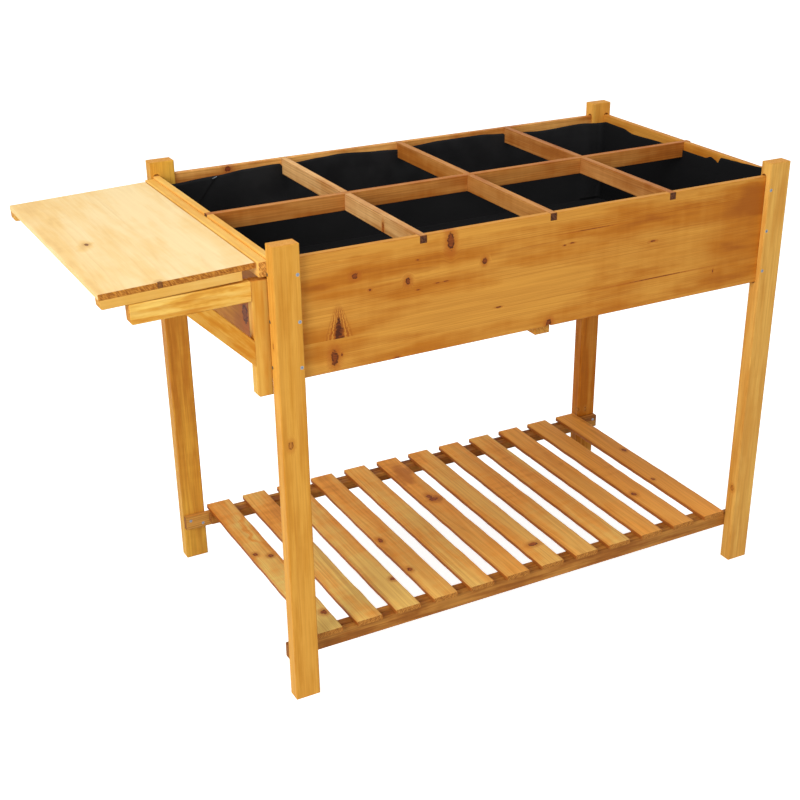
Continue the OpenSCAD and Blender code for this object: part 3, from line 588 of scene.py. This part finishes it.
slats = {
    "sizes": {"Count": 12, "Pitch": 0.0736, "Width": 0.0465, "Thickness": 0.009, "Length": 0.510,
              "Rounding": 0.0013, "Edge Wander": 0.0011, "Seed": 4},
    "top": 0.1035,
    "segments": 64,  # along a slat
    "cornerSegments": 3,
    "wavesPerMetre": 16.0,  # of a long edge's wander
    "sharpAbove": 40,  # degrees
    # what each slat's own place in the wood differs by: along it, across it and down to the pith
    "shift": {"along": 1.7, "across": (-0.03, 0.03), "down": (0.012, 0.05)},
    "rearTint": (-0.2, 0.2, -0.2, 0.3),  # painted light and shade: from and to this depth, stain from and to this strength
    "edgeWear": (0.0034, 0.0010, 0.0, 0.8),  # from and to this far off an edge, wear from and to this much
    "sawnBelow": (0.0012, 0.0024),  # the sawn sides begin and are full this far under the top face
    "sawnSide": {"Light": (176, 108, 46), "Warm": (146, 84, 32)},
    "knotDepth": 0.01,
    # knots: place on the top face and half sizes
    "knots": [(0.1622, -0.1817, 0.0085, 0.0056), (0.0877, 0.0584, 0.0080, 0.0060), (0.0840, 0.0720, 0.0045, 0.0080),
              (0.5380, 0.0510, 0.0042, 0.0056), (0.4401, -0.1158, 0.0046, 0.0060), (0.5112, -0.0832, 0.0030, 0.0040),
              (-0.2691, -0.1995, 0.0055, 0.0060), (-0.2749, 0.0156, 0.0046, 0.0050),
              (-0.2975, 0.0330, 0.0040, 0.0050), (-0.1187, -0.1625, 0.0044, 0.0050),
              (-0.0765, -0.0329, 0.0040, 0.0070), (-0.0770, -0.1494, 0.0040, 0.0060)],
    # patches of stain: place on the top face, half sizes and strength
    "patches": [(0.0877, 0.0584, 0.022, 0.030, 0.9), (0.0877, 0.1800, 0.030, 0.06, 0.7),
                (-0.2760, 0.1200, 0.008, 0.09, 0.8), (0.1600, 0.0000, 0.03, 0.20, -0.4),
                (0.3800, -0.1400, 0.03, 0.03, 0.5)],
    # how far each slat goes from light to warm stain: partly its own tone, partly painted shade that deepens from left
    # to right under the bed
    "tones": [0.0, 0.1, 0.2, 0.45, 0.3, 0.7, 0.5, 0.5, 0.35, 0.8, 0.85, 0.95],
}


def slatMaterial():
    made, tree = newMaterial("slatWood")
    coords = ownCoords(tree)
    low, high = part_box("shelf_slat_1")
    pitch, count, top = slats["sizes"]["Pitch"], slats["sizes"]["Count"], slats["top"]
    place = split(coords)
    counted = (place["X"] - ((low[0] + high[0]) / 2 - pitch / 2)) / pitch
    number = calc("FLOOR", counted)
    across = (calc("FRACT", counted) - 0.5) * pitch
    # Each slat is cut from its own place in the wood
    shift, chance = slats["shift"], split(chanceOf(number, "Color"))
    side = across + spread(chance["X"], 0, 1, *shift["across"], shape="LINEAR")
    depth = place["Z"] - top + spread(chance["Y"], 0, 1, *shift["down"], shape="LINEAR")
    stops = [(index / count, share) for index, share in enumerate(slats["tones"])]
    # Painted shade in part: the slats further right get darker tones, as the bed shades them more
    toneAndShade = ramp((number + 0.5) / count, stops, "CONSTANT")
    values = mixStain("slat")
    values["Light"] = mixColour(toneAndShade, values["Light"], values["Warm"])
    sides = spread(place["Z"], *[top - below for below in slats["sawnBelow"]])  # sawn sides take more stain
    for name, shade in slats["sawnSide"].items():
        values[name] = mixColour(sides, values[name], paint(*shade))
    knots = [((x, y, top), (halfX, halfY, slats["knotDepth"])) for x, y, halfX, halfY in slats["knots"]]
    patches = [((x, y, top), (halfX, halfY, 9), strength) for x, y, halfX, halfY, strength in slats["patches"]]
    # Painted light and shade: the slats' front ends are lighter and their rear ends darker, as more light comes from
    # the front
    depthShade = spread(place["Y"], *slats["rearTint"], shape="LINEAR")
    edge = slats["sizes"]["Width"] / 2 - calc("ABSOLUTE", across)
    values.update(markKnots(coords, knots), Vector=join(X=place["Y"] + number * shift["along"], Y=side, Z=depth),
                  Tint=stainAndShadePatches(coords, patches) + depthShade, End=endMask(coords, "y", low, high),
                  Wear=spread(edge, *slats["edgeWear"]))
    finishWood(tree, values)
    return made


def buildSlatTree():
    inputs = {**slats["sizes"], "First": origin, "Finish": None}
    tree, given, out = startGroup("slatRow", "GeometryNodeTree", inputs, ["Geometry"])

    def step(kind, feeds=None, **settings):
        return addNode(tree, "GeometryNode" + kind, feeds, **settings).outputs[0]

    half = given["Length"] / 2.0
    line = step("CurvePrimitiveLine", {"Start": join(Y=half * -1.0), "End": join(Y=half)})
    line = step("ResampleCurve", {"Curve": line, "Count": slats["segments"]})
    section = step("CurvePrimitiveQuadrilateral", {"Width": given["Width"], "Height": given["Thickness"]})
    section = step("FilletCurve", {"Curve": section, "Radius": given["Rounding"],
                                   "Count": slats["cornerSegments"]}, mode="POLY")
    slat = step("CurveToMesh", {"Curve": line, "Profile Curve": section, "Fill Caps": True})
    points = step("MeshLine", {"Count": given["Count"], "Start Location": given["First"],
                               "Offset": join(X=given["Pitch"])})
    row = step("InstanceOnPoints", {"Points": points, "Instance": slat})
    row = step("RealizeInstances", {"Geometry": row})
    # Each long edge wanders a little by itself, as a sawn edge does
    place = split(step("InputPosition"))
    counted = (place["X"] - split(given["First"])["X"]) / given["Pitch"]
    edge = calc("ROUND", counted * 4.0)  # a whole number that is another for every long edge
    lookup = join(X=edge * 3.7 + given["Seed"], Y=place["Y"] * slats["wavesPerMetre"])
    wander = addNode(tree, "ShaderNodeTexNoise", {"Vector": lookup, "Scale": 1.0, "Detail": 3.0}).outputs["Fac"]
    sway = (wander - 0.5) * (given["Edge Wander"] * 4.0)
    row = step("SetPosition", {"Geometry": row, "Offset": join(X=sway)})
    feed(out["Geometry"], step("SetMaterial", {"Geometry": row, "Material": given["Finish"]}))
    return tree


def grow(name, tree, values):
    # Runs a geometry tree on an empty mesh and keeps the plain mesh that it gives
    holder = addPiece(name + "Maker", bpy.data.meshes.new(name + "Maker"))
    modifier = holder.modifiers.new("make", "NODES")
    modifier.node_group = tree
    for item in tree.interface.items_tree:
        if item.name in values:
            modifier[item.identifier] = values[item.name]
    view = bpy.context.evaluated_depsgraph_get()
    view.update()
    mesh = bpy.data.meshes.new_from_object(holder.evaluated_get(view))
    mesh.name = name
    bpy.data.objects.remove(holder)
    return addPiece(name, mesh)


def makeSlats():
    low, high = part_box("shelf_slat_1")
    first = tuple((a + b) / 2 for a, b in zip(low, high))
    row = grow("shelfSlats", buildSlatTree(), {"First": first, "Finish": slatMaterial()})
    row.data.shade_smooth()
    row.data.set_sharp_from_angle(angle=math.radians(slats["sharpAbove"]))
    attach(row, "shelf_mat")
    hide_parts(*["shelf_slat_%d" % (index + 1) for index in range(slats["sizes"]["Count"])])


makeSlats()
print("slats laid")

# Metal


def metalMaterial(name, colour, roughness, scratch):
    made, tree = newMaterial(name)
    coords = ownCoords(tree)
    fine = speckle(coords, (900, 900, 900), detail=3)
    soft = speckle(coords, (120, 120, 120))
    darker = tuple(0.55 * part for part in colour[:3]) + (1,)
    looks = {"Base Color": mixColour(soft * scratch, colour, darker), "Roughness": roughness + fine * 0.1,
             "Metallic": 1.0}
    finishMaterial(tree, looks, fine, strength=0.2, depth=0.0001)
    return made


zinc = metalMaterial("zincPlate", paint(150, 156, 164), roughness=0.32, scratch=0.7)
steel = metalMaterial("hingeSteel", paint(170, 172, 176), roughness=0.35, scratch=0.5)
for node in nodes:
    if node.endswith("_screws"):
        dress(node, zinc)
    elif node.endswith(("_leaves", "_pins")):
        dress(node, steel)
print("metal plated")

# Liner

liner = {
    "floor": 0.5870,
    "floorWave": 0.0012,
    "rows": 34,
    "floorRings": 14,
    "clearance": 0.0006,
    "thickness": 0.0006,
    "sharpAbove": 50,  # degrees
    "step": 0.0068,  # between folds of the mesh along a wall
    "fineStep": 0.0022,  # the same beside a divider or a corner flap
    "fineReach": 0.020,  # how soon the one goes over into the other
    "legReach": 0.03,  # how far the cloth takes from a leg's face to the panel's
    "tabs": {"rear": (0.2485, 0.4815, 0.7155), "front": (0.2485, 0.4815, 0.7155), "left": (0.2735,),
             "right": (0.2735,)},
    "tabHalf": 0.0068,
    "tabRise": 0.0022,
    "tabNear": 0.010,  # the mesh is fine this far to both sides of a tab
    "drop": (0.150, 0.190),  # and here, where the right wall's edge drops
    "dip": 0.7427,  # the top edge where a divider's tab crosses it
    # height of the top edge above the ground at places along a wall, from the stand's left or front
    "rearEdge": [(0.016, 0.7400), (0.042, 0.7390), (0.115, 0.7420), (0.175, 0.7466), (0.226, 0.7482),
                 (0.241, 0.7478), (0.256, 0.7455), (0.268, 0.7462), (0.316, 0.7490), (0.358, 0.7508),
                 (0.436, 0.7462), (0.473, 0.7440), (0.490, 0.7452), (0.508, 0.7462), (0.566, 0.7494),
                 (0.655, 0.7496), (0.700, 0.7464), (0.724, 0.7450), (0.751, 0.7430), (0.792, 0.7410),
                 (0.888, 0.7440), (0.941, 0.7410)],
    "rightEdge": [(0.025, 0.7575), (0.045, 0.7585), (0.078, 0.7560), (0.110, 0.7540), (0.140, 0.7525),
                  (0.158, 0.7515), (0.168, 0.7400), (0.174, 0.7436), (0.187, 0.7465), (0.203, 0.7415),
                  (0.266, 0.7412), (0.334, 0.7412), (0.423, 0.7382), (0.454, 0.7430), (0.517, 0.7436)],
    # the photo hides the other two walls' edges: gentle waves
    "hiddenEdge": {"height": 0.7468, "wave": 0.0030, "front": 2.5, "left": 7.5},
    # the surplus cloth of the left rear corner, folded flat against the rear wall: how far it reaches
    "flap": {"along": 0.0975, "down": 0.114, "start": 0.0022, "below": 0.0004, "proud": 0.0020, "wave": 0.0008,
             "roll": 0.0007, "tuck": 0.0004, "rows": 24, "columns": 30, "turns": 3},
    # how far the cloth stands off its walls: its mean and wave, the least share at the foot and the share at the top
    "bulge": {"mean": 0.0022, "wave": 0.0026, "least": 0.15, "top": 0.25, "topFrom": 0.87},
    # where the painted shade sets in and is full: height of the bottom, its half length and width, the right wall
    "dark": {"bottom": (0.5925, 0.5912), "length": (0.4607, 0.4598), "width": (0.2501, 0.2492),
             "right": (0.574, 0.582)},
    "flat": {"length": 0.925, "width": 0.504, "wall": 0.157},  # as cut, before the walls are turned up
}


def linerEdge(profile, place):
    for (a, high), (b, low) in zip(profile, profile[1:]):
        if a <= place <= b:
            return high + (low - high) * ease((place - a) / (b - a))
    return profile[0][1] if place < profile[0][0] else profile[-1][1]


def linerTop(wall, place):
    if wall in ("rear", "right"):
        height = linerEdge(liner[wall + "Edge"], place)
    else:
        edge = liner["hiddenEdge"]
        height = edge["height"] + edge["wave"] * ripple(place * 11, edge[wall], 0.5)
    near = min(abs(place - tab) for tab in liner["tabs"][wall])
    share = clamp((near - liner["tabHalf"]) / liner["tabRise"])
    return min(height, liner["dip"] + (height - liner["dip"]) * share)


def wallStops(start, end, fineSpots):
    # Places along a wall, closer together near the spots where its edge turns sharply
    fine, stops = liner["fineStep"], [start]
    while stops[-1] < end - fine:
        near = min(max(low - stops[-1], stops[-1] - high, 0.0) for low, high in fineSpots)
        share = clamp(near / liner["fineReach"])
        stops.append(min(end, stops[-1] + fine + (liner["step"] - fine) * share))
    return stops[:-1] if end - stops[-1] < fine / 2 else stops


def linerPath():
    # Round the inside of the bed, from the front left corner: (x, y, inward x, inward y, wall, place)
    gap = liner["clearance"] + liner["thickness"]
    left, right = stand["left"] + stand["endWall"] + gap, stand["right"] - stand["endWall"] - gap
    front, rear = stand["front"] + stand["longWall"] + gap, stand["rear"] - stand["longWall"] - gap
    legStep = stand["legThickness"] - stand["longWall"]
    legEnd = stand["legWidth"] - stand["endWall"]

    def stepIn(x):  # the fabric bridges from the leg's face to the panel's
        return legStep * (1 - ease((min(x - left, right - x) - legEnd) / liner["legReach"]))

    def spots(wall, extra=()):
        near = liner["tabNear"]
        return [(tab - near, tab + near) for tab in liner["tabs"][wall]] + list(extra)

    x0, y0 = stand["left"], stand["front"]
    path = []
    for place in wallStops(left - x0, right - x0, spots("front")):
        path.append((place + x0, front + stepIn(place + x0), 0, 1, "front", place))
    for place in wallStops(front + legStep - y0, rear - legStep - y0, spots("right", [liner["drop"]])):
        path.append((right, place + y0, -1, 0, "right", place))
    for place in reversed(wallStops(left - x0, right - x0, spots("rear"))):
        path.append((place + x0, rear - stepIn(place + x0), 0, -1, "rear", place))
    for place in reversed(wallStops(front + legStep - y0, rear - legStep - y0, spots("left"))):
        path.append((left, place + y0, 1, 0, "left", place))
    return path


def linerMaterial():
    made, tree = newMaterial("linerFabric")
    coords = ownCoords(tree)
    fuzz = speckle(coords, (700, 700, 700), detail=3, roughness=0.7)
    cloudy = speckle(coords, (16, 16, 16))
    dots = addNode(tree, "ShaderNodeTexVoronoi", {"Vector": coords, "Scale": 520.0}).outputs["Distance"]
    colour = mixColour(spread(cloudy, 0.35, 0.65), paint(27, 27, 28), paint(37, 37, 38))
    place = split(coords)
    # Painted light: the walls are lighter towards their foot, to offset the shadow that the dividers cast there
    colour = mixColour(spread(place["Z"], 0.70, 0.60), colour, paint(41, 41, 42))
    # Painted shade: the bottom and the right wall lie in more light than the other sides, so their colour is darkened
    dark, fromMiddle = liner["dark"], calc("ABSOLUTE", place["X"] - middleX)
    bottom = spread(place["Z"], *dark["bottom"]) * spread(fromMiddle, *dark["length"])
    bottom = bottom * spread(calc("ABSOLUTE", place["Y"]), *dark["width"])
    paintedShade = calc("MAXIMUM", bottom, spread(place["X"], *dark["right"]))
    colour = mixColour(paintedShade, colour, paint(14, 14, 15))
    looks = {"Base Color": mixColour(fuzz * 0.3, colour, paint(44, 44, 45)), "Roughness": 0.95,
             "Specular IOR Level": 0.05, "Sheen Weight": 0.02, "Sheen Roughness": 0.5}
    finishMaterial(tree, looks, fuzz * 0.6 + dots * 0.5, strength=0.5, depth=0.0004)
    return made


def linerBulge(x, y, height, share):
    # How far the cloth stands off its wall: loose in the middle, close at the foot and the top
    bulge = liner["bulge"]
    wave = ripple(x * 9, y * 9, height * 14)
    wave += 0.5 * ripple(x * 26, y * 26, height * 30)
    arch = math.sin(math.pi * min(1.0, share * 1.15)) if share < bulge["topFrom"] else bulge["top"]
    return max(0.0, bulge["mean"] + bulge["wave"] * wave) * max(bulge["least"], arch)


def makeLiner():
    mesh = bmesh.new()
    path = linerPath()
    rows, floor, rings = liner["rows"], liner["floor"], liner["floorRings"]
    walls = []
    for row in range(rows + 1):
        share = row / rows
        ring = []
        for x, y, inX, inY, wall, place in path:
            height = floor + (linerTop(wall, place) - floor) * share
            bulge = linerBulge(x, y, height, share)
            ring.append(mesh.verts.new((x + inX * bulge, y + inY * bulge, height)))
        walls.append(ring)
    pairs = [(i, (i + 1) % len(path)) for i in range(len(path))]
    for low, high in zip(walls, walls[1:]):
        for i, j in pairs:
            mesh.faces.new((low[i], high[i], high[j], low[j]))
    # Floor: rings that shrink to the middle line
    inner = walls[0]
    for step in range(1, rings + 1):
        share = step / rings
        ring = []
        for x, y in [stop[:2] for stop in path]:
            px = middleX + (x - middleX) * (1 - share * 0.55)
            px, py = x + (px - x) * share, y * (1 - share)
            lift = liner["floorWave"] * (1 + ripple(px * 14, py * 14, 3.3)) * min(1.0, share * 6)
            ring.append(mesh.verts.new((px, py, floor + lift)))
        for i, j in pairs:
            mesh.faces.new((inner[i], inner[j], ring[j], ring[i]))
        inner = ring
    bmesh.ops.remove_doubles(mesh, verts=inner, dist=0.0001)
    bmesh.ops.recalc_face_normals(mesh, faces=mesh.faces)
    if mesh.faces[0].calc_center_median().dot(mesh.faces[0].normal) < 0:
        bmesh.ops.reverse_faces(mesh, faces=mesh.faces)
    addFlap(mesh)
    piece = settle("bedLiner", mesh, linerMaterial())
    piece.data.set_sharp_from_angle(angle=math.radians(liner["sharpAbove"]))
    thick = piece.modifiers.new("cloth", "SOLIDIFY")
    thick.thickness = liner["thickness"]
    thick.offset = 1.0
    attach(piece, "frame")
    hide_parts("liner")
    length, width, wall = (liner["flat"][name] for name in ("length", "width", "wall"))


def addFlap(mesh):
    # The corner's surplus cloth: a triangle on the rear wall, its slanted edge a rounded fold
    flap, floor = liner["flap"], liner["floor"]
    rows, columns, turns = flap["rows"], flap["columns"], flap["turns"]
    left = stand["left"] + stand["endWall"] + flap["start"]
    wallY = stand["rear"] - stand["legThickness"] - liner["clearance"] - liner["thickness"]
    legEnd = stand["left"] + stand["legWidth"]

    def wallAt(x, height):
        back = (stand["legThickness"] - stand["longWall"]) * ease((x - legEnd) / liner["legReach"])
        y = wallY + back
        return y - linerBulge(x, y, height, (height - floor) / (linerTop("rear", x - stand["left"]) - floor))

    grid = []
    for row in range(rows + 1):
        down = row / rows
        reach = flap["along"] * (1 - down)
        line = []
        for column in range(columns + turns + 1):
            t = min(1.0, column / columns)
            x = left + reach * t
            top = linerTop("rear", x - stand["left"]) - flap["below"]
            height = top - flap["down"] * down
            standOff = flap["proud"] * (0.45 + 0.55 * t) + flap["wave"] * ripple(x * 40, height * 40, 8.8)
            if column > columns:  # the fold turns back to the wall
                turn = (column - columns) / turns
                standOff *= 1 - turn * 0.9
                x += flap["roll"] * math.sin(math.pi * turn) - flap["tuck"] * turn
            line.append(mesh.verts.new((x, wallAt(x, height) - standOff, height)))
        grid.append(line)
    for upper, lower in zip(grid, grid[1:]):
        for i in range(len(upper) - 1):
            mesh.faces.new((upper[i], lower[i], lower[i + 1], upper[i + 1]))


staples = {
    "places": [(0.113, 0.7400, 0.35), (0.044, 0.7350, -0.2)],  # along the rear wall, height, lean
    "crown": 0.0090,
    "leg": 0.0022,
    "wire": 0.0006,
    "sides": 8,
    "bend": (0, 0.52, 1.05, 1.57),  # steps of a corner's quarter turn
    "proud": 0.0052,
}


def makeStaples():
    # Bent wires that hold the flap: legs go into the panel, the crown lies on the cloth
    mesh = bmesh.new()
    wire, half, leg, sides = staples["wire"], staples["crown"] / 2, staples["leg"], staples["sides"]
    corner = wire * 1.6
    bend = [(corner * (1 - math.cos(a)), corner * math.sin(a) - corner) for a in staples["bend"]]
    route = [(-half, -leg)] + [(u - half, out) for u, out in bend]
    route += [(half - u, out) for u, out in reversed(bend)] + [(half, -leg)]
    for place, height, lean in staples["places"]:
        wall = stand["legThickness"] if place < stand["legWidth"] else stand["longWall"]
        x0, y0 = stand["left"] + place, stand["rear"] - wall - staples["proud"]
        rings = []
        for i, (u, out) in enumerate(route):
            ahead, behind = route[min(i + 1, len(route) - 1)], route[max(i - 1, 0)]
            run = Vector((ahead[0] - behind[0], ahead[1] - behind[1])).normalized()
            ring = []
            for k in range(sides):
                a = 2 * math.pi * k / sides
                flat, up = math.cos(a) * wire * 0.5, math.sin(a) * wire
                across = u - run.y * flat
                x = x0 + across * math.cos(lean) - up * math.sin(lean)
                z = height + across * math.sin(lean) + up * math.cos(lean)
                ring.append(mesh.verts.new((x, y0 - (out + run.x * flat), z)))
            rings.append(ring)
        for low, high in zip(rings, rings[1:]):
            for k in range(sides):
                mesh.faces.new((low[k], low[(k + 1) % sides], high[(k + 1) % sides], high[k]))
        mesh.faces.new(rings[0])
        mesh.faces.new(rings[-1])
    bmesh.ops.recalc_face_normals(mesh, faces=mesh.faces)
    piece = settle("linerStaples", mesh, zinc)
    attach(piece, "frame")


makeLiner()
makeStaples()
print("liner laid")

# Floor, lamps and sky

studio = {
    "skyStrength": 0.42,
    "skyColour": (1.0, 1.0, 1.0, 1),
    "lampTarget": (0.05, 0, 0.45),
    "lampSize": 2.4,
    "lamps": {
        "key": {"place": (-3.9, -2.0, 2.3), "power": 135.0},
        "fill": {"place": (0.4, -3.8, 1.9), "power": 20.0},
        "top": {"place": (-0.3, -0.3, 3.3), "power": 28.0},
    },
    "floorColour": (0.745, 0.78, 0.765, 1),
    "floorGlow": 0.84,
    "floorSize": 30,
}


def seenIn(tree):  # 1 for rays that show a thing, 0 for those that carry its light to others
    rays = addNode(tree, "ShaderNodeLightPath").outputs
    return calc("MAXIMUM", rays["Is Camera Ray"], calc("MAXIMUM", rays["Is Glossy Ray"], rays["Is Transmission Ray"]))


def lightStudio():
    world = bpy.data.worlds.new("studioSky")
    scene.world = world
    world.use_nodes = True
    tree = world.node_tree
    tree.nodes.clear()
    strength = studio["skyStrength"] + seenIn(tree) * (1.0 - studio["skyStrength"])
    sky = addNode(tree, "ShaderNodeBackground", {"Color": studio["skyColour"], "Strength": strength})
    addNode(tree, "ShaderNodeOutputWorld", {"Surface": sky.outputs[0]})
    for name, lamp in studio["lamps"].items():
        data = bpy.data.lights.new(name + "Lamp", "AREA")
        data.shape = "DISK"
        data.size = studio["lampSize"]
        data.energy = lamp["power"]
        aim(addPiece(name + "Lamp", data), lamp["place"], studio["lampTarget"])


def layFloor():
    made, tree = newMaterial("studioFloor")
    glow = seenIn(tree) * studio["floorGlow"]
    shader = addNode(tree, "ShaderNodeBsdfPrincipled", {"Base Color": studio["floorColour"], "Roughness": 0.9,
                                                        "Emission Color": (1, 1, 1, 1), "Emission Strength": glow})
    addNode(tree, "ShaderNodeOutputMaterial", {"Surface": shader.outputs[0]})
    mesh = bmesh.new()
    bmesh.ops.create_grid(mesh, x_segments=2, y_segments=2, size=studio["floorSize"])
    settle("studioFloor", mesh, made)


lightStudio()
layFloor()
scene.view_settings.view_transform = "Standard"
print("studio lit")
